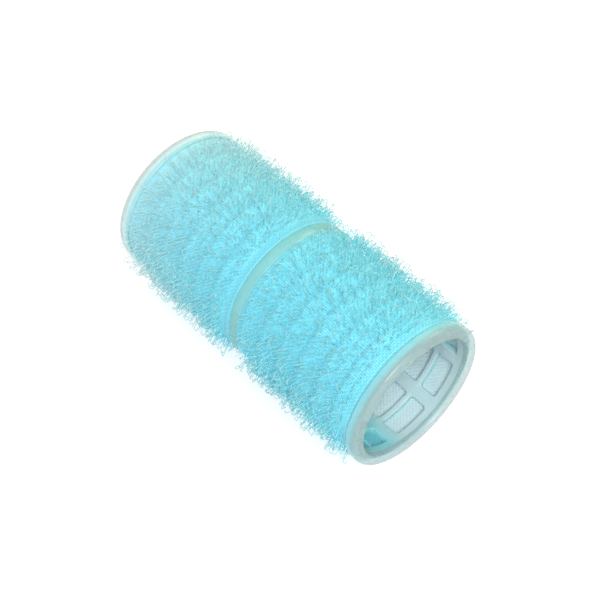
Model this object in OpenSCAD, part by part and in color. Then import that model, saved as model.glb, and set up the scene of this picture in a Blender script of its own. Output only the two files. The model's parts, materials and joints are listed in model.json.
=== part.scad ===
// Self-grip hair roller lying on its side. The roller's axis runs along X through the origin,
// which is the middle of the clear hole, and +Z is up. Lengths are millimetres, angles degrees.
//
// A moulded cage of rings and bars carries two hook tapes, one on each side of its centre
// collar. An end ring is pressed over each end of the cage and covers the edge of the tape.

/* [Roller] */
// Length over both end rings
roller_length = 63; // [50:0.5:70]
// Outside diameter of the wrapped tape, the size that the roller is sold by
barrel_d = 28; // [24:1:44]

/* [Cage] */
// Wall thickness of the cage
cage_wall = 1.2; // [1:0.1:1.6]
// Number of bars along the cage
bar_count = 8; // [6:1:12]
// Width of one bar, around the cage
bar_width = 2.2; // [1.4:0.1:2.6]
// Place of the first bar around the cage, from +Y towards +Z
bar_angle = -12; // [-30:1:30]
// Rings of windows on each side of the centre collar
window_rows = 6; // [4:1:6]
// Width of the rings between the windows, along the cage
rib_width = 1; // [0.9:0.1:1.5]
// Width of the collar between the two tapes
collar_width = 2.2; // [1.6:0.1:3]
// Solid length at each end of the bore, before the first windows
journal_depth = 2.8; // [2.8:0.1:5]

/* [End rings] */
// Width of an end ring, along the roller
ring_width = 2.4; // [2.2:0.1:2.8]
// How far the end rings stand out past the tape
ring_proud = 0.5; // [0.4:0.1:0.6]
// Thickness of the lip that closes the end of the cage
lip = 1.4; // [1.3:0.1:1.6]
// Rounding of the lip's outer edge
outer_round = 0.9; // [0.6:0.1:0.9]
// Rounding of the lip's inner edge, at the mouth of the bore
inner_round = 0.5; // [0.3:0.1:0.5]

/* [Hook tape] */
// Thickness of the woven ground
tape_thickness = 0.5; // [0.4:0.05:0.6]
// Width of the strip with no hooks beside the collar and beside each end ring
selvedge = 1.5; // [1:0.1:2.5]
// Height of the hooks above the woven ground
hook_height = 2.2; // [1.5:0.1:2.6]
// Width of the fused seam where the ends of a tape meet
seam_width = 1; // [0.8:0.1:1.4]
// Width of the strip along the seam that has no hooks
seam_clear = 3.4; // [2.6:0.1:4.5]
// Place of the seams around the roller, from +Y towards +Z
seam_angle = -120; // [-150:1:-118]

/* [Hidden] */

// Clearance between faces of neighbouring pieces that lie on each other
gap = 0.02;
// Overlap that lets a cutting shape pass clean through a face
cut = 1;
// Flats around the hooks' outer shape: the roller rests on one, as hooks bend flat under it
pile_flats = 24;

half_length = roller_length / 2;
barrel_r = barrel_d / 2;
cage_r = barrel_r - tape_thickness;
bore_r = cage_r - cage_wall;
ring_r = barrel_r + ring_proud;
tip_r = barrel_r + hook_height;

cage_half = half_length - lip;
collar_half = collar_width / 2;
// The cage is solid a little wider than its collar, so that the collar has a full wall under it
centre_half = collar_half + 1.2;
window_length = (half_length - journal_depth - centre_half - (window_rows - 1) * rib_width) / window_rows;
window_pitch = window_length + rib_width;
bar_pitch = 360 / bar_count;
// A window's width is the chord between two bars at the middle of the wall
window_width = 2 * (bore_r + cage_wall / 2) * sin(bar_pitch / 2) - bar_width;

tape_start = collar_half + gap;
tape_end = cage_half - gap;
// The tape goes on under the end ring's skirt, and its hooks and its seam stop short of it
seam_end = half_length - ring_width - gap;
hooks_start = tape_start + selvedge;
hooks_end = seam_end - selvedge;

seam_span = seam_width / barrel_r * 180 / PI;

$fn = 128;

// Stands a shape that is drawn along +Z on its side, from x towards +X, with its own +X
// pointing along +Y.
module along_x(x) {
    translate([x, 0, 0]) rotate([90, 0, 90]) children();
}

// Makes a part on the side of the collar that is asked for: 1 is right, +X, and -1 is left.
module on_side(side) {
    mirror([side < 0 ? 1 : 0, 0, 0]) children();
}

// A tube along X, from start to end.
module tube(start, end, inner_r, outer_r) {
    along_x(start) difference() {
        cylinder(r = outer_r, h = end - start);
        translate([0, 0, -cut]) cylinder(r = inner_r, h = end - start + 2 * cut);
    }
}

// Part of a tube along X: it spans the given angle, and its middle lies at seam_angle + turn.
module tube_sector(start, end, inner_r, outer_r, span, turn) {
    along_x(start) rotate([0, 0, seam_angle + turn - span / 2])
        rotate_extrude(angle = span)
            translate([inner_r, 0]) square([outer_r - inner_r, end - start]);
}

// One ring of windows, as the rays that cut them out of the cage's wall.
module window_ring(start) {
    along_x(start) linear_extrude(height = window_length)
        for (i = [0 : bar_count - 1])
            rotate(bar_angle + (i + 0.5) * bar_pitch)
                translate([0, -window_width / 2]) square([cage_r + cut, window_width]);
}

// The moulded core: a tube of rings and bars, with a collar round its middle.
module cage() {
    color([0.80, 0.88, 0.87]) difference() {
        union() {
            tube(-cage_half, cage_half, bore_r, cage_r);
            tube(-collar_half, collar_half, bore_r, barrel_r);
        }
        for (side = [-1, 1], row = [0 : window_rows - 1])
            on_side(side) window_ring(centre_half + row * window_pitch);
    }
}

// A quarter of a disc with its corner at centre: it spans +Y, and +X or, with side -1, -X.
module quarter_disc(centre, r, side) {
    translate(centre) intersection() {
        circle(r = r);
        translate([side < 0 ? -r : 0, 0]) square(r);
    }
}

// Half section of an end ring, an L of skirt and lip. X is the radius and Y the distance along
// the roller. The skirt covers the edge of the tape, and the lip closes the end of the cage.
module ring_section() {
    skirt_start = half_length - ring_width;
    lip_start = half_length - lip;
    polygon([
        [barrel_r + gap, skirt_start],
        [ring_r, skirt_start],
        [ring_r, half_length - outer_round],
        [ring_r - outer_round, half_length],
        [bore_r + inner_round, half_length],
        [bore_r, half_length - inner_round],
        [bore_r, lip_start],
        [barrel_r + gap, lip_start]
    ]);
    quarter_disc([ring_r - outer_round, half_length - outer_round], outer_round, 1);
    quarter_disc([bore_r + inner_round, half_length - inner_round], inner_round, -1);
}

// Smooth ring that is pressed over the end of the cage.
module end_ring(side) {
    color([0.72, 0.80, 0.79])
        on_side(side) along_x(0) rotate_extrude() ring_section();
}

// Woven ground of a tape, wrapped once round the cage, with its two ends apart by the seam.
module tape_ground(side) {
    color([0.47, 0.82, 0.90])
        on_side(side)
            tube_sector(tape_start, tape_end, cage_r + gap, barrel_r, 360 - seam_span, 180);
}

// Bead of melted tape that joins its two ends.
module tape_seam(side) {
    bead_proud = 0.15;
    bead_span = seam_span * 0.96;
    color([0.42, 0.78, 0.87])
        on_side(side)
            tube_sector(tape_start, seam_end, cage_r + gap, barrel_r + bead_proud, bead_span, 0);
}

// Outer shape of the hooks, which stand all over a tape apart from its selvedges and its seam.
module tape_hooks(side) {
    corner_r = tip_r / cos(180 / pile_flats);
    color([0.54, 0.90, 0.96])
        on_side(side) along_x(hooks_start)
            linear_extrude(height = hooks_end - hooks_start) difference() {
                polygon([
                    for (i = [0 : pile_flats - 1])
                        corner_r * [cos((i + 0.5) * 360 / pile_flats), sin((i + 0.5) * 360 / pile_flats)]
                ]);
                circle(r = barrel_r + gap);
                rotate(seam_angle) translate([0, -seam_clear / 2]) square([tip_r + cut, seam_clear]);
            }
}

cage();
end_ring(-1);  // left_end_ring
end_ring(1);  // right_end_ring
tape_ground(-1);  // left_tape_ground
tape_ground(1);  // right_tape_ground
tape_hooks(-1);  // left_tape_hooks
tape_hooks(1);  // right_tape_hooks
tape_seam(-1);  // left_tape_seam
tape_seam(1);  // right_tape_seam
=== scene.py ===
"""Self-grip hair roller: the looks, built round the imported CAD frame.

The roller lies on its side with its axis along X. Most pieces are worked out in millimetres, in
the roller's own coordinates: x along the axis, the angle around it from +Y towards +Z, and the
distance out from it. They are turned into metres when a mesh is made.
"""

import json
import math
import random

import bpy
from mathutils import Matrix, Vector, noise


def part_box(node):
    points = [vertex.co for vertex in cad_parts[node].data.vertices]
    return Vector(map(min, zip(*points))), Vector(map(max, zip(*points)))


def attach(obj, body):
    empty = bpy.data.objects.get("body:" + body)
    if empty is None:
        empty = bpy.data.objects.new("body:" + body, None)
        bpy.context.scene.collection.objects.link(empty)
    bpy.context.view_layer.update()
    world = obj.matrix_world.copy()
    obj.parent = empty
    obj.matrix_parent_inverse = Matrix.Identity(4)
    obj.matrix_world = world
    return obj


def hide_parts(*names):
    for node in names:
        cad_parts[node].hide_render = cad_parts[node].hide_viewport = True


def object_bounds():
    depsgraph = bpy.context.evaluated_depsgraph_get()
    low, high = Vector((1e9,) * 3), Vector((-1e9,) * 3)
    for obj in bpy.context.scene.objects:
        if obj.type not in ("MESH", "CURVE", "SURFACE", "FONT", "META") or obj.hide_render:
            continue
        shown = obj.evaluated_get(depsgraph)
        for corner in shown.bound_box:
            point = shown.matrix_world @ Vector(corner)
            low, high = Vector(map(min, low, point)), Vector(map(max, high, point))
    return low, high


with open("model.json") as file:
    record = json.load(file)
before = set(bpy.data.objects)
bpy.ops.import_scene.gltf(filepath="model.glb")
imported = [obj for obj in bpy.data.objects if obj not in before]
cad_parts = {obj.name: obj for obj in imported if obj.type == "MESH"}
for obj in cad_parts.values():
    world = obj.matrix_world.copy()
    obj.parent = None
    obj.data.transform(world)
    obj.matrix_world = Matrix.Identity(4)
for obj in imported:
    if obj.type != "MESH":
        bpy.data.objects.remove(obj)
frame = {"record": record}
cad_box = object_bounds()

MM = 0.001
TURN = 2 * math.pi
SEED = 28
SIDES = {"left": -1, "right": 1}


def mm_box(node):
    """A CAD node's lowest and highest corners, in millimetres."""
    low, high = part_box(node)
    return Vector(low) / MM, Vector(high) / MM


# ---------------------------------------------------------------- sizes, from the frame

_, cage_high = mm_box("cage")
ring_low, ring_high = mm_box("right_end_ring")
tape_low, tape_high = mm_box("right_tape_ground")
hooks_low, hooks_high = mm_box("right_tape_hooks")
seam_low, seam_high = mm_box("right_tape_seam")
bore_mount = next(m for m in frame["record"]["mounts"] if m["name"] == "core_bore")

BORE_R = bore_mount["dims"]["r_mm"]
COLLAR_R = cage_high.z
CAGE_END = cage_high.x
RING_R = ring_high.z
RING_START = ring_low.x
END_X = ring_high.x
TAPE_R = tape_high.z
TAPE_START, TAPE_END = tape_low.x, tape_high.x
HOOKS_START, HOOKS_END = hooks_low.x, hooks_high.x
SEAM_END = seam_high.x
TIP_R = hooks_high.z
FLOOR_Z = cad_box[0][2]
seam_middle = (seam_low + seam_high) / 2
SEAM_ANGLE = math.atan2(seam_middle.z, seam_middle.y)

# ---------------------------------------------------------------- sizes inside the CAD nodes, mm

TAPE_THICKNESS = 0.5
LAID_GAP = 0.02
CAGE_R = TAPE_R - TAPE_THICKNESS
WALL_MIDDLE_R = BORE_R + (CAGE_R - BORE_R) / 2
BAR_COUNT = 8
BAR_WIDTH = 2.2
BAR_ANGLE = math.radians(-12)
WINDOW_ROWS = 6
RIB_WIDTH = 1.0
JOURNAL_DEPTH = 2.8
COLLAR_HALF = TAPE_START - LAID_GAP
COLLAR_SHOULDER = 1.2
CENTRE_HALF = COLLAR_HALF + COLLAR_SHOULDER
WINDOWS_END = END_X - JOURNAL_DEPTH
WINDOW_LENGTH = (WINDOWS_END - CENTRE_HALF - (WINDOW_ROWS - 1) * RIB_WIDTH) / WINDOW_ROWS
WINDOW_PITCH = WINDOW_LENGTH + RIB_WIDTH
SEAM_WIDTH = 1.0
SEAM_CLEAR = 3.4
HOOK_ROWS = 24
HOOK_ROW_PITCH = (HOOKS_END - HOOKS_START) / HOOK_ROWS
FILAMENT_R = 0.07

# ---------------------------------------------------------------- mesh helpers

WELD_STEP = 1e-4 * MM


def place(x, angle, r):
    """A point in metres, from the roller's own coordinates in millimetres."""
    return (x * MM, r * math.cos(angle) * MM, r * math.sin(angle) * MM)


def add_piece(name, points, faces, material, replaced, smooth_below=40):
    """Makes a mesh object in metres that rides on the roller's one body."""
    mesh = bpy.data.meshes.new(name)
    mesh.from_pydata(points, [], faces)
    mesh.update()
    mesh.shade_smooth()
    mesh.set_sharp_from_angle(angle=math.radians(smooth_below))
    mesh.materials.append(material)
    piece = bpy.data.objects.new(name, mesh)
    bpy.context.scene.collection.objects.link(piece)
    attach(piece, "root")
    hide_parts(replaced)
    return piece


class Weld:
    """Collects faces whose corners are points, and joins corners that meet."""

    def __init__(self):
        self.points, self.faces, self.found = [], [], {}

    def corner(self, point):
        key = tuple(round(c / WELD_STEP) for c in point)
        if key not in self.found:
            self.found[key] = len(self.points)
            self.points.append(point)
        return self.found[key]

    def face(self, *corners):
        indices = [self.corner(p) for p in corners]
        if len(set(indices)) == len(indices):
            self.faces.append(indices)


def arc(centre_x, centre_r, radius, start, end, steps):
    """Points (x, r) along an arc, with its angles in degrees from +x towards +r."""
    turns = [math.radians(start + (end - start) * i / steps) for i in range(steps + 1)]
    return [(centre_x + radius * math.cos(a), centre_r + radius * math.sin(a)) for a in turns]


def lathe(weld, profile, angles, closed=False):
    """Faces of a profile of (x, r) points turned through the given angles and back to the first."""
    pairs = list(zip(profile, profile[1:] + profile[:1]))
    for (x0, r0), (x1, r1) in pairs if closed else pairs[:-1]:
        for a0, a1 in zip(angles, angles[1:] + [angles[0] + TURN]):
            weld.face(place(x0, a0, r0), place(x1, a0, r1), place(x1, a1, r1), place(x0, a1, r0))


def mirrored(profile):
    """A profile for the left side of the roller, with its points in the order that faces need."""
    return [(-x, r) for x, r in reversed(profile)]


# ---------------------------------------------------------------- cage

CAGE_FILLET = 0.16
FILLET_STEPS = 3
WINDOW_CORNER = 0.55
CORNER_STEPS = 4
SIDE_STEPS_AROUND = 10
SIDE_STEPS_ALONG = 4
COLLAR_ROUND = 0.22
COLLAR_CROWN = 0.05
COLLAR_ROUND_STEPS = 4
CAGE_CHAMFER = 0.25
BORE_CHAMFER = 0.02
ANGLE_DIGITS = 9
SAME_X = 1e-9


def window_loops():
    """Loops of (x, arc, r) round one window, from the cage's outside to its inside.

    x and arc are measured from the window's middle. The first and last loops are the cell's own
    border, halfway along the ribs and bars round the window.
    """
    half_x = WINDOW_LENGTH / 2
    half_arc = WALL_MIDDLE_R * math.sin(math.pi / BAR_COUNT) - BAR_WIDTH / 2
    cell_x = WINDOW_PITCH / 2
    cell_arc = WALL_MIDDLE_R * math.pi / BAR_COUNT

    def outline(grow, r):
        """Four round corners, each followed by the straight side that leads to the next."""
        radius = WINDOW_CORNER + grow
        cx, cy = half_x + grow - radius, half_arc + grow - radius
        corners = []
        for quarter, (sx, sy) in enumerate(((1, 1), (-1, 1), (-1, -1), (1, -1))):
            corners.append([])
            for i in range(CORNER_STEPS + 1):
                a = math.radians(90 * quarter + 90 * i / CORNER_STEPS)
                corners[-1].append((sx * cx + radius * math.cos(a), sy * cy + radius * math.sin(a)))
        points = []
        for quarter, corner in enumerate(corners):
            (x0, y0), (x1, y1) = corner[-1], corners[(quarter + 1) % 4][0]
            steps = SIDE_STEPS_AROUND if quarter % 2 else SIDE_STEPS_ALONG
            shares = [i / steps for i in range(1, steps)]
            side = [(x0 + (x1 - x0) * t, y0 + (y1 - y0) * t) for t in shares]
            points += [(x, y, r) for x, y in corner + side]
        return points

    def border(r):
        """The window's outline pushed out to the edge of its cell, which has square corners."""
        cx, cy = half_x - WINDOW_CORNER, half_arc - WINDOW_CORNER
        points = []
        for x, y, _ in outline(0, r):
            over_x, over_y = max(abs(x) - cx, 0), max(abs(y) - cy, 0)
            turn = math.atan2(over_y, over_x) / (math.pi / 2)
            if over_x == 0:
                px, py = x, math.copysign(cell_arc, y)
            elif over_y == 0:
                px, py = math.copysign(cell_x, x), y
            else:
                share_y, share_x = min(2 * turn, 1), min(2 * (1 - turn), 1)
                px = math.copysign(cx + (cell_x - cx) * share_x, x)
                py = math.copysign(cy + (cell_arc - cy) * share_y, y)
            points.append((px, py, r))
        return points

    rounding = [math.radians(90 * i / FILLET_STEPS) for i in range(FILLET_STEPS + 1)]
    loops = [border(CAGE_R)]
    for a in rounding:
        depth = CAGE_FILLET * (1 - math.cos(a))
        loops.append(outline(CAGE_FILLET * (1 - math.sin(a)), CAGE_R - depth))
    for a in reversed(rounding):
        depth = CAGE_FILLET * (1 - math.cos(a))
        loops.append(outline(CAGE_FILLET * (1 - math.sin(a)), BORE_R + depth))
    loops.append(border(BORE_R))
    return loops


def add_window(weld, loops, middle_x, middle_angle):
    """Faces of one window's cell, from loop to loop."""
    placed = [
        [place(middle_x + x, middle_angle + y / WALL_MIDDLE_R, r) for x, y, r in loop]
        for loop in loops
    ]
    for outer, inner in zip(placed, placed[1:]):
        for i in range(len(outer)):
            j = (i + 1) % len(outer)
            weld.face(outer[i], inner[i], inner[j], outer[j])


def make_cage(material):
    """The moulded tube of ribs and bars, with its collar and its solid ends."""
    weld = Weld()
    loops = window_loops()
    middles = [BAR_ANGLE + TURN * (bar + 0.5) / BAR_COUNT for bar in range(BAR_COUNT)]
    for side in SIDES.values():
        for row in range(WINDOW_ROWS):
            middle_x = side * (CENTRE_HALF + WINDOW_LENGTH / 2 + row * WINDOW_PITCH)
            for middle in middles:
                add_window(weld, loops, middle_x, middle)

    # The solid lengths meet the windows' cells at the same angles
    edge_x = max(x for x, _, _ in loops[0])
    at_edge = [y for x, y, _ in loops[0] if x > edge_x - SAME_X]
    edge = sorted({round(y / WALL_MIDDLE_R, ANGLE_DIGITS) for y in at_edge})[:-1]
    angles = [middle + a for middle in middles for a in edge]
    start = CENTRE_HALF - RIB_WIDTH / 2
    end = CENTRE_HALF + WINDOW_ROWS * WINDOW_PITCH - RIB_WIDTH / 2

    round_x = COLLAR_HALF - COLLAR_ROUND
    round_r = COLLAR_R - COLLAR_CROWN - COLLAR_ROUND
    collar = [(start, CAGE_R), (COLLAR_HALF, CAGE_R)]
    collar += arc(round_x, round_r, COLLAR_ROUND, 0, 90, COLLAR_ROUND_STEPS)
    collar += [(0, COLLAR_R)]
    collar += arc(-round_x, round_r, COLLAR_ROUND, 90, 180, COLLAR_ROUND_STEPS)
    collar += [(-COLLAR_HALF, CAGE_R), (-start, CAGE_R)]
    lathe(weld, collar, angles)
    lathe(weld, [(-start, BORE_R), (start, BORE_R)], angles)

    journal = [
        (end, BORE_R),
        (CAGE_END - BORE_CHAMFER, BORE_R),
        (CAGE_END, BORE_R + BORE_CHAMFER),
        (CAGE_END, CAGE_R - CAGE_CHAMFER),
        (CAGE_END - CAGE_CHAMFER, CAGE_R),
        (end, CAGE_R),
    ]
    lathe(weld, journal, angles)
    lathe(weld, mirrored(journal), angles)
    add_piece("cage_moulding", weld.points, weld.faces, material, "cage")


# ---------------------------------------------------------------- end rings

RING_STEPS = 180
OUTER_ROUND = 0.9
INNER_ROUND = 0.5
OUTER_ROUND_STEPS = 9
INNER_ROUND_STEPS = 6
SKIRT_ROUND = 0.15
SKIRT_ROUND_STEPS = 3
SKIRT_CHAMFER = 0.05
LIP_GAP = 0.01
PARTING_INSET = 0.25
PARTING_HALF_WIDTH = 0.06
PARTING_HEIGHT = 0.03


def make_end_ring(name, side, material):
    """A ring with a rounded lip, and a fine parting line round its outside."""
    skirt_inner = TAPE_R + LAID_GAP
    lip_start = CAGE_END + LIP_GAP
    mouth_x, mouth_r = END_X - INNER_ROUND, BORE_R + INNER_ROUND
    crown_x, crown_r = END_X - OUTER_ROUND, RING_R - OUTER_ROUND
    skirt_x, skirt_r = RING_START + SKIRT_ROUND, RING_R - SKIRT_ROUND
    parting = crown_x - PARTING_INSET
    profile = [(lip_start, BORE_R)]
    profile += arc(mouth_x, mouth_r, INNER_ROUND, 270, 360, INNER_ROUND_STEPS)
    profile += arc(crown_x, crown_r, OUTER_ROUND, 0, 90, OUTER_ROUND_STEPS)
    profile += [
        (parting + PARTING_HALF_WIDTH, RING_R),
        (parting, RING_R + PARTING_HEIGHT),
        (parting - PARTING_HALF_WIDTH, RING_R),
    ]
    profile += arc(skirt_x, skirt_r, SKIRT_ROUND, 90, 180, SKIRT_ROUND_STEPS)
    profile += [
        (RING_START, skirt_inner + SKIRT_CHAMFER),
        (RING_START + SKIRT_CHAMFER, skirt_inner),
        (lip_start, skirt_inner),
    ]
    weld = Weld()
    angles = [TURN * i / RING_STEPS for i in range(RING_STEPS)]
    lathe(weld, profile if side > 0 else mirrored(profile), angles, closed=True)
    add_piece(
        f"{name}_ring_moulding", weld.points, weld.faces, material,
        f"{name}_end_ring",
    )


# ---------------------------------------------------------------- woven ground

GROUND_COLUMN = 0.25
GROUND_STEPS = 360
GROUND_RELIEF = 0.12
SELVEDGE_BASE = 0.03
CORD_HEIGHT = 0.09
CORD_PITCH = 0.375
FIELD_BASE = 0.02
RIDGE_HEIGHT = 0.06
FLOAT_HEIGHT = 0.03
FLOAT_PITCH = 0.98
SAG = 0.14


def sag(x, angle):
    """How far the cloth gives way over a window of the cage, in millimetres."""
    row, into = divmod(x - CENTRE_HALF, WINDOW_PITCH)
    along = into / WINDOW_LENGTH
    bar_pitch = TURN / BAR_COUNT
    half_window = bar_pitch / 2 - BAR_WIDTH / 2 / CAGE_R
    around = ((angle - BAR_ANGLE) % bar_pitch - bar_pitch / 2) / half_window
    if not 0 <= row < WINDOW_ROWS or along >= 1 or abs(around) >= 1:
        return 0.0
    return SAG * math.sin(math.pi * along) * (1 - around ** 4)


def ground_height(x, arc_length):
    """Height of the cloth's face over its lowest level, in millimetres.

    The selvedges are corded along the edge. The field has a ridge under each row of hooks, with
    floats of yarn across it.
    """
    if x < HOOKS_START or x > HOOKS_END:
        from_edge = min(x - TAPE_START, TAPE_END - x)
        return SELVEDGE_BASE + CORD_HEIGHT * abs(math.sin(math.pi * from_edge / CORD_PITCH))
    ridge = 0.5 - 0.5 * math.cos(TURN * (x - HOOKS_START) / HOOK_ROW_PITCH)
    float_yarn = 0.5 + 0.5 * math.sin(TURN * arc_length / FLOAT_PITCH + math.pi * ridge)
    return FIELD_BASE + RIDGE_HEIGHT * ridge + FLOAT_HEIGHT * float_yarn


def make_ground(name, side, material):
    """The tape's woven ground, a closed band with its two ends at the seam."""
    outer_r = TAPE_R - GROUND_RELIEF
    inner_r = CAGE_R + LAID_GAP
    half_gap = SEAM_WIDTH / 2 / TAPE_R
    width = TAPE_END - TAPE_START
    columns = round(width / GROUND_COLUMN)
    xs = [TAPE_START + width * i / columns for i in range(columns + 1)]
    sweep = TURN - 2 * half_gap
    angles = [SEAM_ANGLE + half_gap + sweep * i / GROUND_STEPS for i in range(GROUND_STEPS + 1)]
    points, faces = [], []
    for a in angles:
        arc_length = (a - SEAM_ANGLE) * TAPE_R
        for x in xs:
            points.append(place(side * x, a, outer_r + ground_height(x, arc_length) - sag(x, a)))
        for x in reversed(xs):
            points.append(place(side * x, a, inner_r - sag(x, a)))
    ring = 2 * len(xs)
    for i in range(GROUND_STEPS):
        for j in range(ring):
            k = (j + 1) % ring
            corners = [i * ring + j, (i + 1) * ring + j, (i + 1) * ring + k, i * ring + k]
            faces.append(corners if side > 0 else corners[::-1])
    first = list(range(ring))
    last = [GROUND_STEPS * ring + j for j in range(ring)]
    faces.append(first if side > 0 else first[::-1])
    faces.append(last[::-1] if side > 0 else last)
    ground = add_piece(
        f"{name}_woven_ground", points, faces, material, f"{name}_tape_ground"
    )


# ---------------------------------------------------------------- hooks

# Where the hooks stand. ALONG_JITTER is in mm, AROUND_JITTER and ROW_STAGGER in spaces between
# hooks, SEAM_MARGIN in radians, and the two shares are of the way round from the seam.
HOOKS_AROUND = 84
ALONG_JITTER = 0.3
AROUND_JITTER = 0.4
ROW_STAGGER = 0.25
SEAM_MARGIN = 0.02
FIRST_SHARE = 0.004
LAST_SHARE = 0.996

# How tall they are. SHORTEST is a share of full height, and STRAY_SHARE of all the hooks.
# STRAY_REACH and TABLE_GAP are in mm.
SHORTEST = 0.45
HEIGHT_POWER = 0.7
STRAY_SHARE = 0.22
STRAY_REACH = 0.9
TABLE_GAP = 2.5 * FILAMENT_R
LEAST_SLOPE = 0.1

# How they turn, in radians, and how far they lean over for each mm of height. Both flares die
# away over FLARE_WIDTH, in mm.
ROW_TURN = math.radians(38)
TURN_SPREAD = 0.45
ROW_LEAN = 0.1
LEAN_SPREAD = 0.14
SWAY_SPREAD = 0.15
FLARE = 0.5
COLLAR_FLARE = 0.35
FLARE_WIDTH = 3.5

# The shape of one hook. LOOP_R and ROOT_DEPTH are in mm and CUT_ENDS in degrees. LOOP_SIZES are
# shares of LOOP_R, FOOT_SIZES of the loop's own radius, and STUB_HEIGHTS of the leg's height.
LOOP_R = 0.42
LOOP_STEPS = 8
LOOP_SIZES = (0.75, 1.2)
FOOT_SIZES = (0.55, 0.85)
CUT_ENDS = (-50, 25)
STUB_HEIGHTS = (0.25, 0.55)
ROOT_DEPTH = 0.3
TUBE_SIDES = 6


def hook_height(rng, angle):
    """Height of one hook over the tape.

    A few stand out past the others, but those underneath reach no further than about the table.
    """
    full = TIP_R - TAPE_R - FILAMENT_R
    height = full * (1 - (1 - SHORTEST) * rng.random() ** HEIGHT_POWER)
    if rng.random() < STRAY_SHARE:
        height = full + STRAY_REACH * rng.random()
    down = max(-math.sin(angle), LEAST_SLOPE)
    return min(height, -FLOOR_Z / MM / down - TAPE_R - TABLE_GAP)


def hook_lines(rng, top):
    """The centre lines of a cut loop's hook and of its stub, as (across, up) points."""
    r = LOOP_R * rng.uniform(*LOOP_SIZES)
    springing = top - r
    foot = r * rng.uniform(*FOOT_SIZES)
    # The leg rises from inside the tape and bows out a little before it turns over
    hook = [
        (-foot, -ROOT_DEPTH),
        (-foot - 0.04, 0.25 * springing),
        (-r * 1.04, 0.7 * springing),
    ]
    last_turn = rng.uniform(*CUT_ENDS)
    for i in range(LOOP_STEPS + 1):
        a = math.radians(180 + (last_turn - 180) * i / LOOP_STEPS)
        hook.append((r * math.cos(a), springing + r * math.sin(a)))
    stub_height = springing * rng.uniform(*STUB_HEIGHTS)
    stub = [(foot, -ROOT_DEPTH), (foot + 0.02, 0.5 * stub_height), (foot + 0.1, stub_height)]
    return hook, stub


def tube(line, across, up, binormal, radius, points, faces):
    """Adds a closed tube round a line, given as points in the plane of across and up."""
    path = [across * a + up * u for a, u in line]
    first = len(points)
    for i, p in enumerate(path):
        along = (path[min(i + 1, len(path) - 1)] - path[max(i - 1, 0)]).normalized()
        normal = binormal.cross(along)
        for s in range(TUBE_SIDES):
            a = TURN * s / TUBE_SIDES
            points.append(p + (normal * math.cos(a) + binormal * math.sin(a)) * radius)
    for i in range(len(path) - 1):
        low, high = first + i * TUBE_SIDES, first + (i + 1) * TUBE_SIDES
        for s in range(TUBE_SIDES):
            t = (s + 1) % TUBE_SIDES
            faces.append((low + s, low + t, high + t, high + s))
    end = first + (len(path) - 1) * TUBE_SIDES
    faces.append(tuple(first + s for s in reversed(range(TUBE_SIDES))))
    faces.append(tuple(end + s for s in range(TUBE_SIDES)))


def flare_at(x):
    """How far hooks lean out over an end ring or the collar, where nothing stands by them."""
    over_ring = FLARE * max(0, 1 - (HOOKS_END - abs(x)) / FLARE_WIDTH)
    over_collar = COLLAR_FLARE * max(0, 1 - (abs(x) - HOOKS_START) / FLARE_WIDTH)
    return over_ring - over_collar


def make_hooks(name, side, lean, material):
    """Every second row of a tape's hooks, all leaning the same way along the roller."""
    rng = random.Random(f"{SEED} {name} {lean}")
    points, faces = [], []
    axial = Vector((1, 0, 0))
    clear = SEAM_CLEAR / 2 / TAPE_R + SEAM_MARGIN
    sweep = TURN - 2 * clear
    for row in range(0 if lean < 0 else 1, HOOK_ROWS, 2):
        row_x = HOOKS_START + HOOK_ROW_PITCH * (row + 0.5)
        for n in range(HOOKS_AROUND):
            jitter = rng.uniform(-AROUND_JITTER, AROUND_JITTER)
            share = (n + 0.5 + ROW_STAGGER * lean + jitter) / HOOKS_AROUND
            angle = SEAM_ANGLE + clear + sweep * min(max(share, FIRST_SHARE), LAST_SHARE)
            x = side * (row_x + rng.uniform(-ALONG_JITTER, ALONG_JITTER))
            radial = Vector((0, math.cos(angle), math.sin(angle)))
            around = Vector((0, -math.sin(angle), math.cos(angle)))
            yaw = lean * ROW_TURN + rng.gauss(0, TURN_SPREAD)
            across = around * math.cos(yaw) + axial * math.sin(yaw)
            if (n + row // 2) % 2:
                across = -across
            along_lean = side * flare_at(x) + lean * ROW_LEAN + rng.gauss(0, LEAN_SPREAD)
            tilt = axial * along_lean + around * rng.gauss(0, SWAY_SPREAD)
            up = (radial + tilt).normalized()
            binormal = across.cross(up).normalized()
            base = axial * x + radial * TAPE_R
            start = len(points)
            for line in hook_lines(rng, hook_height(rng, angle)):
                tube(line, across, up, binormal, FILAMENT_R, points, faces)
            for i in range(start, len(points)):
                points[i] = (points[i] + base) * MM
    label = "in" if lean < 0 else "out"
    add_piece(
        f"{name}_hooks_leaning_{label}", points, faces, material,
        f"{name}_tape_hooks", smooth_below=65,
    )


# ---------------------------------------------------------------- seam

SEAM_STEPS = 120
SEAM_CROWN_STEPS = 10
CROWN_POWER = 0.8

# Its measures in mm
SEAM_INSET = 0.015
SEAM_FOOT = 0.005
SEAM_EDGE = 0.012
SPREAD_LEAST = 0.12
SPREAD_SWELL = 0.3
LIFT_LEAST = 0.13
LIFT_SWELL = 0.14
LIFT_LUMPS = 0.05
SEAM_WANDER = 0.12

# How it varies along its length, and how it dies away towards its ends
SWELL_PER_MM = 1.3
SWELL_PLACE = 4.0
LUMPS_PER_SWELL = 3.1
WANDER_PER_MM = 0.6
WANDER_PLACE = 9.0
END_TAPER = 6
END_SHARE = 0.35


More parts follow.
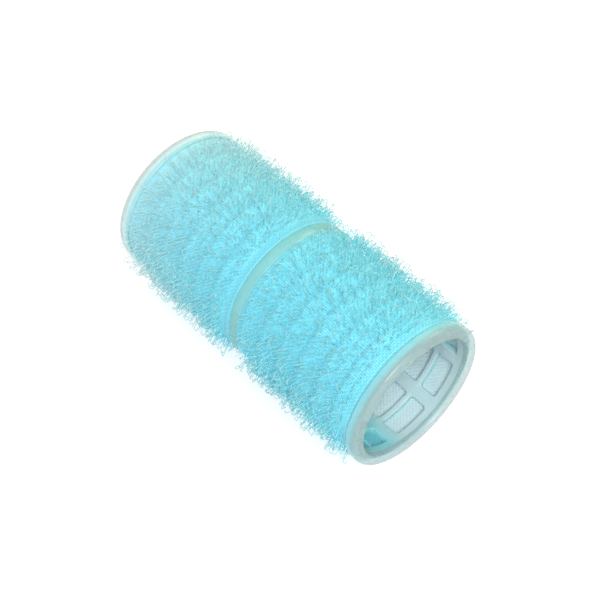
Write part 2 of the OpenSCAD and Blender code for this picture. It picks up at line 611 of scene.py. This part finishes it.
def make_seam(name, side, material):
    """The uneven bead of melted tape that fills the gap between a tape's ends."""
    half = SEAM_WIDTH / 2 - SEAM_INSET
    base_r = CAGE_R + LAID_GAP
    points, faces = [], []
    for i in range(SEAM_STEPS + 1):
        t = i / SEAM_STEPS
        x = TAPE_START + (SEAM_END - TAPE_START) * t
        spot = Vector((side * x * SWELL_PER_MM, SWELL_PLACE, 0.0))
        swell = 0.5 + 0.5 * noise.noise(spot)
        lumps = noise.noise(spot * LUMPS_PER_SWELL)
        taper = min(1.0, END_TAPER * t + END_SHARE, END_TAPER * (1 - t) + END_SHARE)
        spread = half + (SPREAD_LEAST + SPREAD_SWELL * swell) * taper
        lift = (LIFT_LEAST + LIFT_SWELL * swell + LIFT_LUMPS * lumps) * taper
        wander_spot = Vector((side * x * WANDER_PER_MM, WANDER_PLACE, 0.0))
        wander = SEAM_WANDER * noise.noise(wander_spot)
        section = [(-half, base_r), (-half, TAPE_R + SEAM_FOOT)]
        for k in range(SEAM_CROWN_STEPS + 1):
            a = math.radians(180 - 180 * k / SEAM_CROWN_STEPS)
            section.append((
                wander * math.sin(a) + spread * math.cos(a),
                TAPE_R + SEAM_EDGE + lift * math.sin(a) ** CROWN_POWER,
            ))
        section += [(half, TAPE_R + SEAM_FOOT), (half, base_r)]
        points += [place(side * x, SEAM_ANGLE + w / TAPE_R, r) for w, r in section]
    ring = len(section)
    for i in range(SEAM_STEPS):
        for j in range(ring):
            k = (j + 1) % ring
            corners = [i * ring + j, i * ring + k, (i + 1) * ring + k, (i + 1) * ring + j]
            faces.append(corners if side > 0 else corners[::-1])
    first = list(range(ring))
    last = [SEAM_STEPS * ring + j for j in range(ring)]
    faces.append(first[::-1] if side > 0 else first)
    faces.append(last if side > 0 else last[::-1])
    add_piece(
        f"{name}_melted_seam", points, faces, material, f"{name}_tape_seam",
        smooth_below=60,
    )


# ---------------------------------------------------------------- materials

# Colours, in linear RGB
# The cage's outside tint carries a painted blue bounce, and its bore's tint is painted lighter
COLLAR_TINT_PAINTED_BOUNCE = (0.28, 0.75, 0.77)
BORE_TINT_PAINTED_LIGHTER = (0.62, 0.76, 0.80)
LIP_TINT = (0.36, 0.49, 0.49)
RING_OVER_TAPE = (0.40, 0.84, 0.90)
BORE_OVER_SEAM = (0.30, 0.74, 0.77)
# Painted light, blended into the moulding towards the roller's left end
PAINTED_FAR_LIGHT_MOULDING = (0.70, 0.88, 0.88)
YARN_LIGHT = (0.25, 0.77, 0.91)
YARN_DEEP = (0.20, 0.71, 0.87)
YARN_SHADOW = (0.14, 0.56, 0.70)
# Painted shade of the cloth where it lies on the cage's ribs
CLOTH_PAINTED_RIB_SHADE = (0.10, 0.42, 0.54)
BACKING_LIGHT = (0.50, 0.65, 0.69)
BACKING_DEEP = (0.45, 0.60, 0.65)
BACKING_AT_SEAM = (0.14, 0.48, 0.56)
# Painted light, blended into the cloth towards the roller's left end
PAINTED_FAR_LIGHT_CLOTH = (0.52, 0.70, 0.72)
HOOK_ROOT_DEEP = (0.22, 0.74, 0.84)
HOOK_ROOT_LIGHT = (0.28, 0.80, 0.89)
# Painted shade and painted warm light: the hooks' tips greyer and greener
HOOK_TIP_PAINTED_SHADE_DEEP = (0.36, 0.66, 0.66)
HOOK_TIP_PAINTED_SHADE_PALE = (0.48, 0.74, 0.73)
# Painted shade of the hooks where the tape lies on the cage's ribs
HOOK_PAINTED_RIB_SHADE = (0.12, 0.50, 0.62)
# Painted light, blended into the hooks towards the roller's left end
PAINTED_FAR_LIGHT_HOOKS = (0.74, 0.82, 0.80)
MELT_DEEP = (0.20, 0.60, 0.74)
MELT_LIGHT = (0.40, 0.78, 0.86)

# Shares and powers first, then distances and radii in mm
NOISE_LOW = 0.3
NOISE_HIGH = 0.7
FLOW_SHADE = 0.93
RIB_SHADE_FROM = 0.55
FADE_POWER = 1.5
FUZZ_SHARE = 0.35
PITS_SHARE = 0.5
WEAVE_PITCH = 0.42
SEAM_FULL_WITHIN = 3.0
SEAM_GONE_BY = 7.0
RING_ON_TAPE = CAGE_END - 0.1
RING_PAST_TAPE = CAGE_END + 0.4
INSIDE_WALL_R = BORE_R + 0.1
BACKING_R = CAGE_R + 0.06
FACE_R = CAGE_R + 0.16
ROOT_COLOUR_R = TAPE_R + 0.5
TIP_COLOUR_R = TIP_R + 0.5


class Shader:
    """A Principled material and short ways to add nodes to it."""

    def __init__(self, name, **sockets):
        self.material = bpy.data.materials.new(name)
        self.material.use_nodes = True
        self.tree = self.material.node_tree
        self.bsdf = self.tree.nodes["Principled BSDF"]
        for socket, value in sockets.items():
            self.bsdf.inputs[socket.replace("_", " ")].default_value = value
        self.coordinates = self.node("ShaderNodeTexCoord").outputs["Object"]

    def node(self, kind, **settings):
        made = self.tree.nodes.new(kind)
        for key, value in settings.items():
            setattr(made, key, value)
        return made

    def feed(self, socket, value):
        if isinstance(value, bpy.types.NodeSocket):
            self.tree.links.new(value, socket)
        else:
            socket.default_value = value

    def drive(self, socket, value):
        """Links a value to one of the Principled node's own sockets."""
        self.feed(self.bsdf.inputs[socket], value)

    def math(self, operation, *values):
        made = self.node("ShaderNodeMath", operation=operation)
        for socket, value in zip(made.inputs, values):
            self.feed(socket, value)
        return made.outputs[0]

    def noise(self, per_mm, detail, stretch=(1, 1, 1)):
        mapping = self.node("ShaderNodeMapping")
        self.feed(mapping.inputs["Vector"], self.coordinates)
        mapping.inputs["Scale"].default_value = [per_mm / MM * s for s in stretch]
        made = self.node("ShaderNodeTexNoise")
        self.feed(made.inputs["Vector"], mapping.outputs[0])
        made.inputs["Scale"].default_value = 1.0
        made.inputs["Detail"].default_value = detail
        return made.outputs["Fac"]

    def range(self, value, from_low, from_high, to_low, to_high):
        made = self.node("ShaderNodeMapRange")
        for socket, v in zip(made.inputs, (value, from_low, from_high, to_low, to_high)):
            self.feed(socket, v)
        return made.outputs["Result"]

    def spread(self, noise_value, low=0.0, high=1.0):
        """A noise, which mostly stays between NOISE_LOW and NOISE_HIGH, taken from low to high."""
        return self.range(noise_value, NOISE_LOW, NOISE_HIGH, low, high)

    def blend(self, share, low, high):
        made = self.node("ShaderNodeMix", data_type="RGBA")
        self.feed(made.inputs["Factor"], share)
        colours = [socket for socket in made.inputs if socket.type == "RGBA"]
        for socket, value in zip(colours, (low, high)):
            self.feed(socket, value if isinstance(value, bpy.types.NodeSocket) else (*value, 1))
        return next(s for s in made.outputs if s.type == "RGBA")

    def paint_rib_shade(self, along, colour, shade, most):
        """The colour, turning to a painted shade where the tape lies on the cage's ribs."""
        # Painted shade: the ribs hold back the light that comes through the tape from the bore
        along = self.math("SUBTRACT", self.math("ABSOLUTE", along), CENTRE_HALF - RIB_WIDTH / 2)
        phase = self.math("COSINE", self.math("MULTIPLY", along, TURN / WINDOW_PITCH))
        on_rib = self.range(phase, RIB_SHADE_FROM, 1.0, 0.0, 1.0)
        return self.blend(self.math("MULTIPLY", on_rib, most), colour, shade)

    def near_seam(self, around, colour, tint, most):
        """The colour, turning to the tint where the melted seam is close behind."""
        away = self.math("SUBTRACT", math.pi * TAPE_R, self.math("ABSOLUTE", around))
        return self.blend(
            self.range(away, SEAM_FULL_WITHIN, SEAM_GONE_BY, most, 0.0), colour, tint
        )

    def fade(self, along, colour, pale, most):
        """The colour, paler towards the roller's left end, as painted light on that end."""
        share = self.math("POWER", self.range(along, 0.0, -END_X, 0.0, 1.0), FADE_POWER)
        return self.blend(self.math("MULTIPLY", share, most), colour, pale)

    def bump(self, height, depth_mm, strength):
        made = self.node("ShaderNodeBump")
        made.inputs["Strength"].default_value = strength
        made.inputs["Distance"].default_value = depth_mm * MM
        self.feed(made.inputs["Height"], height)
        self.drive("Normal", made.outputs[0])

    def roller_position(self):
        """Sockets in millimetres: along the roller, round it, and out from its axis.

        Round the roller, 0 is opposite the seam.
        """
        split = self.node("ShaderNodeSeparateXYZ")
        self.feed(split.inputs[0], self.coordinates)
        x, y, z = split.outputs
        turn = SEAM_ANGLE + math.pi
        c, s = math.cos(turn), math.sin(turn)
        u = self.math("ADD", self.math("MULTIPLY", y, c), self.math("MULTIPLY", z, s))
        v = self.math("SUBTRACT", self.math("MULTIPLY", z, c), self.math("MULTIPLY", y, s))
        squares = self.math("ADD", self.math("MULTIPLY", u, u), self.math("MULTIPLY", v, v))
        along = self.math("MULTIPLY", x, 1 / MM)
        around = self.math("MULTIPLY", self.math("ARCTAN2", v, u), TAPE_R)
        return along, around, self.math("MULTIPLY", self.math("SQRT", squares), 1 / MM)


def natural_polypropylene(name, outer, inner, over_tape, alpha, seam_shows=0.0):
    """Milky translucent moulding, with faint flow marks and a fine eggshell surface.

    It takes one tint outside, another in its bore, and a third where it lies on the tape.
    Where the outside and bore tints differ, that is painted light: a painted blue bounce from the
    tape outside, and a painted lighter tone in the bore. The melted seam behind the bore's wall
    shows through it as much as seam_shows says.
    """
    shader = Shader(
        name,
        IOR=1.49,
        Alpha=alpha,
        Subsurface_Weight=0.3,
        Subsurface_Radius=(1.0, 1.0, 1.0),
        Subsurface_Scale=0.8 * MM,
    )
    along, around, out = shader.roller_position()
    flow = shader.spread(shader.noise(per_mm=0.22, detail=2, stretch=(0.5, 1, 1)))
    bore = shader.blend(flow, inner, [FLOW_SHADE * c for c in inner])
    bore = shader.near_seam(around, bore, BORE_OVER_SEAM, most=seam_shows)
    outside = shader.blend(flow, outer, [FLOW_SHADE * c for c in outer])
    from_middle = shader.math("ABSOLUTE", along)
    on_tape = shader.range(from_middle, RING_ON_TAPE, RING_PAST_TAPE, 0.85, 0.0)
    outside = shader.blend(on_tape, outside, over_tape)
    # Painted light: outside, a painted blue bounce from the tape; in the bore, a painted lighter
    # tone
    through = shader.range(out, INSIDE_WALL_R, CAGE_R, 0.0, 1.0)
    coloured = shader.blend(through, bore, outside)
    # Painted light towards the roller's left end
    shader.drive("Base Color", shader.fade(along, coloured, PAINTED_FAR_LIGHT_MOULDING, most=0.35))
    grain = shader.noise(per_mm=0.8, detail=2)
    shader.drive("Roughness", shader.spread(grain, low=0.24, high=0.36))
    shader.bump(shader.noise(per_mm=0.35, detail=1), depth_mm=0.03, strength=0.5)
    return shader.material


def woven_nylon():
    """Plain weave of fine blue yarn, with a soft sheen and uneven dye."""
    shader = Shader("blue_woven_nylon", Sheen_Weight=0.1, Sheen_Roughness=0.4)
    along, around, out = shader.roller_position()
    per_yarn = math.pi / WEAVE_PITCH
    wave_x = shader.math("SINE", shader.math("MULTIPLY", along, per_yarn))
    wave_y = shader.math("SINE", shader.math("MULTIPLY", around, per_yarn))
    weft_over = shader.math("GREATER_THAN", shader.math("MULTIPLY", wave_x, wave_y), 0.0)
    warp_over = shader.math("SUBTRACT", 1.0, weft_over)
    weft = shader.math("MULTIPLY", shader.math("ABSOLUTE", wave_x), weft_over)
    warp = shader.math("MULTIPLY", shader.math("ABSOLUTE", wave_y), warp_over)
    weave = shader.math("ADD", weft, warp)
    fuzz = shader.noise(per_mm=6.0, detail=3)
    dye = shader.spread(shader.noise(per_mm=0.25, detail=4))
    dyed = shader.blend(dye, YARN_LIGHT, YARN_DEEP)
    shaded = shader.blend(shader.range(weave, 0.0, 1.0, 0.0, 1.0), YARN_SHADOW, dyed)
    # Painted shade over the cage's ribs
    front = shader.paint_rib_shade(along, shaded, CLOTH_PAINTED_RIB_SHADE, most=0.35)
    backing = shader.blend(dye, BACKING_LIGHT, BACKING_DEEP)
    backing = shader.near_seam(around, backing, BACKING_AT_SEAM, most=1.0)
    face = shader.range(out, BACKING_R, FACE_R, 0.0, 1.0)
    coloured = shader.blend(face, backing, front)
    # Painted light towards the roller's left end
    shader.drive("Base Color", shader.fade(along, coloured, PAINTED_FAR_LIGHT_CLOTH, most=0.45))
    shader.drive("Roughness", shader.spread(fuzz, low=0.5, high=0.72))
    height = shader.math("ADD", weave, shader.math("MULTIPLY", fuzz, FUZZ_SHARE))
    shader.bump(height, depth_mm=0.09, strength=0.8)
    return shader.material


def hook_nylon():
    """Glossy clear blue monofilament with a fine drawn surface; its tips take painted shade."""
    shader = Shader("blue_hook_monofilament", IOR=1.53, Alpha=0.7)
    along, _, out = shader.roller_position()
    rise = shader.range(out, ROOT_COLOUR_R, TIP_COLOUR_R, 0.0, 1.0)
    dye = shader.spread(shader.noise(per_mm=0.9, detail=2))
    root = shader.blend(dye, HOOK_ROOT_DEEP, HOOK_ROOT_LIGHT)
    # Painted shade and painted warm light: the tips turn greyer and greener
    tip = shader.blend(dye, HOOK_TIP_PAINTED_SHADE_DEEP, HOOK_TIP_PAINTED_SHADE_PALE)
    strand = shader.blend(rise, root, tip)
    # Painted shade over the cage's ribs
    coloured = shader.paint_rib_shade(along, strand, HOOK_PAINTED_RIB_SHADE, most=0.25)
    # Painted light towards the roller's left end
    shader.drive("Base Color", shader.fade(along, coloured, PAINTED_FAR_LIGHT_HOOKS, most=0.6))
    draw = shader.noise(per_mm=7.0, detail=2)
    shader.drive("Roughness", shader.spread(draw, low=0.16, high=0.34))
    shader.bump(draw, depth_mm=0.01, strength=0.4)
    return shader.material


def melted_nylon():
    """Tape that has melted and set: deeper blue, glassy, with pits and small bubbles."""
    shader = Shader(
        "blue_melted_nylon",
        IOR=1.53,
        Subsurface_Weight=0.2,
        Subsurface_Radius=(0.5, 1.0, 1.0),
        Subsurface_Scale=0.6 * MM,
    )
    blotch = shader.noise(per_mm=1.1, detail=4)
    shader.drive("Base Color", shader.blend(shader.spread(blotch), MELT_DEEP, MELT_LIGHT))
    pits = shader.noise(per_mm=4.5, detail=3)
    shader.drive("Roughness", shader.spread(pits, low=0.18, high=0.5))
    height = shader.math("ADD", blotch, shader.math("MULTIPLY", pits, PITS_SHARE))
    shader.bump(height, depth_mm=0.12, strength=0.8)
    return shader.material


# ---------------------------------------------------------------- camera, floor and light

CAMERA_AZIMUTH = 47.8
CAMERA_ELEVATION = 51.2
CAMERA_DISTANCE = 255 * MM
CAMERA_LENS = 86
SENSOR_WIDTH = 36
NEAREST_SEEN = 5 * MM
AIM_RIGHT = 1.4 * MM
AIM_UP = -1.5 * MM

FLOOR_HALF = 3.0
FLOOR_DARK = (0.36, 0.36, 0.36)
FLOOR_LIGHT = (0.39, 0.39, 0.39)
FLOOR_GLOW = (0.96, 0.98, 1.0, 1)

WORLD_FRONT = (0.06, 0.07, 0.08)
WORLD_SIDES = (0.94, 0.94, 0.94)
WORLD_BACK = (0.54, 0.56, 0.38)
WORLD_STRENGTH = 0.35
FRONT_TO_BACK = (-0.9, 0.9)
BAND_COLOUR = (1.25, 1.25, 1.25)
BAND_FADES = (0.21, 0.35)
BLACK = (0.0, 0.0, 0.0)
WHITE = (1.0, 1.0, 1.0)


def compass(azimuth, elevation):
    """The direction from the roller to a place round it: azimuth 0 is -Y, and 90 is +X."""
    a, e = math.radians(azimuth), math.radians(elevation)
    return Vector((math.sin(a) * math.cos(e), -math.cos(a) * math.cos(e), math.sin(e)))


def add_object(name, data):
    made = bpy.data.objects.new(name, data)
    bpy.context.scene.collection.objects.link(made)
    return made


def make_camera():
    data = bpy.data.cameras.new("camera")
    data.sensor_width = SENSOR_WIDTH
    data.lens = CAMERA_LENS
    data.clip_start = NEAREST_SEEN
    camera = add_object("camera", data)
    back = compass(CAMERA_AZIMUTH, CAMERA_ELEVATION)
    turned = back.to_track_quat("Z", "Y")
    aim = turned @ Vector((AIM_RIGHT, AIM_UP, 0))
    camera.location = aim + back * CAMERA_DISTANCE
    camera.rotation_euler = turned.to_euler()
    bpy.context.scene.camera = camera


def make_floor():
    """A white table that glows a little, so that it photographs as plain white."""
    signs = ((-1, -1), (1, -1), (1, 1), (-1, 1))
    corners = [(FLOOR_HALF * sx, FLOOR_HALF * sy, FLOOR_Z) for sx, sy in signs]
    mesh = bpy.data.meshes.new("floor")
    mesh.from_pydata(corners, [], [(0, 1, 2, 3)])
    shader = Shader(
        "white_table",
        Roughness=0.9,
        Specular_IOR_Level=0.1,
        Emission_Color=FLOOR_GLOW,
        Emission_Strength=0.66,
    )
    mottle = shader.spread(shader.noise(per_mm=0.01, detail=2))
    shader.drive("Base Color", shader.blend(mottle, FLOOR_DARK, FLOOR_LIGHT))
    mesh.materials.append(shader.material)
    add_object("floor", mesh)


def soft_box(name, azimuth, elevation, distance, size, power, colour):
    data = bpy.data.lights.new(name, "AREA")
    data.shape = "DISK"
    data.size = size
    data.energy = power
    data.color = colour
    lamp = add_object(name, data)
    back = compass(azimuth, elevation)
    lamp.location = back * distance
    lamp.rotation_euler = back.to_track_quat("Z", "Y").to_euler()


def make_world():
    """A dim front and a warm back, and all round a pale band up to just over the table's edge."""
    world = bpy.data.worlds.new("studio")
    world.use_nodes = True
    tree = world.node_tree
    sky = tree.nodes["Background"]
    towards = tree.nodes.new("ShaderNodeSeparateXYZ")
    directions = tree.nodes.new("ShaderNodeTexCoord").outputs["Generated"]
    tree.links.new(directions, towards.inputs[0])

    def ramp(axis, low, high, stops):
        share = tree.nodes.new("ShaderNodeMapRange")
        tree.links.new(towards.outputs[axis], share.inputs["Value"])
        share.inputs["From Min"].default_value = low
        share.inputs["From Max"].default_value = high
        made = tree.nodes.new("ShaderNodeValToRGB")
        tree.links.new(share.outputs["Result"], made.inputs["Fac"])
        made.color_ramp.elements[0].color = (*stops[0], 1)
        made.color_ramp.elements[1].color = (*stops[-1], 1)
        for stop in stops[1:-1]:
            made.color_ramp.elements.new(0.5).color = (*stop, 1)
        return made.outputs["Color"]

    walls = ramp("Y", *FRONT_TO_BACK, [WORLD_FRONT, WORLD_SIDES, WORLD_BACK])
    above_band = ramp("Z", *BAND_FADES, [BLACK, WHITE])
    mix = tree.nodes.new("ShaderNodeMix")
    mix.data_type = "RGBA"
    colours = [socket for socket in mix.inputs if socket.type == "RGBA"]
    tree.links.new(above_band, mix.inputs["Factor"])
    colours[0].default_value = (*BAND_COLOUR, 1)
    tree.links.new(walls, colours[1])
    tree.links.new(next(s for s in mix.outputs if s.type == "RGBA"), sky.inputs["Color"])
    sky.inputs["Strength"].default_value = WORLD_STRENGTH
    bpy.context.scene.world = world


def make_light():
    """The world and two soft lamps: a white key just right of the camera, and a warm one behind."""
    make_world()
    soft_box(
        "key", azimuth=57, elevation=52, distance=0.9, size=0.5, power=10.4,
        colour=(1.0, 1.0, 0.99),
    )
    soft_box(
        "back", azimuth=195, elevation=35, distance=0.9, size=0.4, power=3.5,
        colour=(1.0, 0.86, 0.52),
    )
    bpy.context.scene.view_settings.view_transform = "Standard"


# ---------------------------------------------------------------- the roller

make_camera()
make_floor()
make_light()

# The core's outside tint carries a painted blue bounce, and its bore's tint is painted lighter
core = natural_polypropylene(
    "natural_polypropylene_core", outer=COLLAR_TINT_PAINTED_BOUNCE, inner=BORE_TINT_PAINTED_LIGHTER, over_tape=COLLAR_TINT_PAINTED_BOUNCE,
    alpha=0.6, seam_shows=0.9,
)
rings = natural_polypropylene(
    "natural_polypropylene_ring", outer=LIP_TINT, inner=LIP_TINT, over_tape=RING_OVER_TAPE,
    alpha=0.5,
)
cloth = woven_nylon()
monofilament = hook_nylon()
melt = melted_nylon()

make_cage(core)
for label, way in SIDES.items():
    make_end_ring(label, way, rings)
    make_ground(label, way, cloth)
    make_hooks(label, way, -1, monofilament)
    make_hooks(label, way, 1, monofilament)
    make_seam(label, way, melt)
